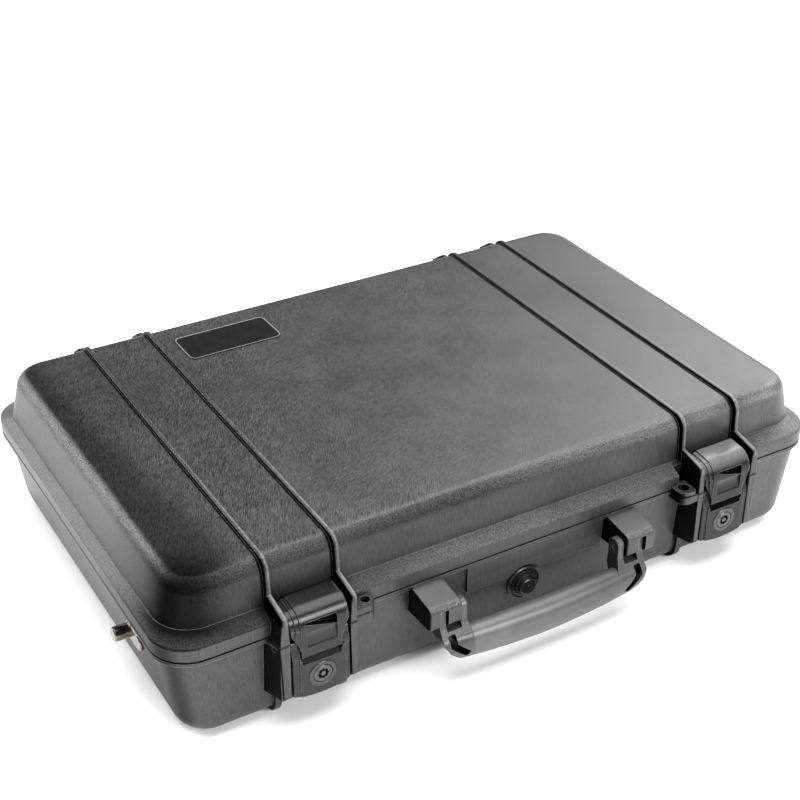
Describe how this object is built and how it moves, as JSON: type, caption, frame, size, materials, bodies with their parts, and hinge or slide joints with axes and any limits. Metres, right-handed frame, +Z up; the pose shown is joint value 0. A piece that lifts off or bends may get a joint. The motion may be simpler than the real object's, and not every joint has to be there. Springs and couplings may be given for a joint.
{
  "type": "laptop hard case",
  "caption": "Flat hard-shell case for a laptop, with a hinged lid, front latches with key locks, a swinging carry handle, a pressure valve and strap posts.",
  "frame": {"origin": "under the middle of the overall box, on the surface the case's ribs stand on", "axes": "+X to the right seen from the handle side, +Y from the handle towards the hinges, +Z up through the lid"},
  "size_m": [0.5152, 0.3726, 0.118],
  "materials": {
    "shell": "moulded polypropylene with fine random scuffs",
    "latch": "semi-gloss moulded",
    "handle": "semi-gloss moulded",
    "grip": "satin overmould",
    "valve": "semi-gloss",
    "seal": "matt",
    "foam": "open-cell foam",
    "label": "gloss, bare",
    "steel": "turned",
    "bright_metal": "bright nickel",
    "lock_ring": "semi-gloss",
    "lock_metal": "dark plated"
  },
  "bodies": {
    "base": {"base_shell": "shell", "base_foam": "foam", "hinge_pin_left": "steel", "hinge_pin_right": "steel", "latch_stub_pins_left": "steel", "latch_stub_pins_right": "steel", "handle_pin_left": "steel", "handle_pin_right": "steel", "valve_body": "valve", "valve_seal": "seal", "strap_plate_left": "bright_metal", "strap_plate_right": "bright_metal", "strap_post_left": "bright_metal", "strap_post_right": "bright_metal", "strap_nut_left": "steel", "strap_nut_right": "steel"},
    "lid": {"lid_shell": "shell", "lid_seal": "seal", "lid_foam": "foam", "label_plate": "label"},
    "latch_plate_left": {"latch_plate_left": "latch", "lock_bezel_left": "lock_ring", "latch_hook_pin_left": "steel"},
    "latch_plate_right": {"latch_plate_right": "latch", "lock_bezel_right": "lock_ring", "latch_hook_pin_right": "steel"},
    "latch_hook_left": {"latch_hook_left": "latch"},
    "latch_hook_right": {"latch_hook_right": "latch"},
    "lock_left": {"lock_core_left": "lock_metal", "lock_cam_left": "steel"},
    "lock_right": {"lock_core_right": "lock_metal", "lock_cam_right": "steel"},
    "handle": {"handle_core": "handle", "handle_grip": "grip"},
    "valve_knob": {"valve_knob": "valve"}
  },
  "joints": [
    {"name": "lid_hinge", "type": "hinge", "parent": "base", "child": "lid", "pos_m": [0, 0.18, 0.069], "axis": [-1, 0, 0], "range_deg": [0, 100]},
    {"name": "latch_plate_left", "type": "hinge", "parent": "base", "child": "latch_plate_left", "pos_m": [-0.15825, -0.16, 0.0645], "axis": [-1, 0, 0], "range_deg": [0, 70]},
    {"name": "latch_hook_left", "type": "hinge", "parent": "latch_plate_left", "child": "latch_hook_left", "pos_m": [-0.15825, -0.1633, 0.0603], "axis": [1, 0, 0], "range_deg": [0, 90]},
    {"name": "lock_turn_left", "type": "hinge", "parent": "latch_plate_left", "child": "lock_left", "pos_m": [-0.15825, -0.165, 0.04], "axis": [0, -1, 0], "range_deg": [0, 90]},
    {"name": "latch_plate_right", "type": "hinge", "parent": "base", "child": "latch_plate_right", "pos_m": [0.15825, -0.16, 0.0645], "axis": [-1, 0, 0], "range_deg": [0, 70]},
    {"name": "latch_hook_right", "type": "hinge", "parent": "latch_plate_right", "child": "latch_hook_right", "pos_m": [0.15825, -0.1633, 0.0603], "axis": [1, 0, 0], "range_deg": [0, 90]},
    {"name": "lock_turn_right", "type": "hinge", "parent": "latch_plate_right", "child": "lock_right", "pos_m": [0.15825, -0.165, 0.04], "axis": [0, -1, 0], "range_deg": [0, 90]},
    {"name": "handle_swing", "type": "hinge", "parent": "base", "child": "handle", "pos_m": [0, -0.17, 0.0555], "axis": [-1, 0, 0], "range_deg": [0, 90]},
    {"name": "valve_turn", "type": "hinge", "parent": "base", "child": "valve_knob", "pos_m": [0, -0.155, 0.0365], "axis": [0, -1, 0], "range_deg": [0, 180]}
  ],
  "couplings": [
    {"joint": "latch_hook_left", "follows": "latch_plate_left", "ratio": 1.2857},
    {"joint": "latch_hook_right", "follows": "latch_plate_right", "ratio": 1.2857}
  ]
}
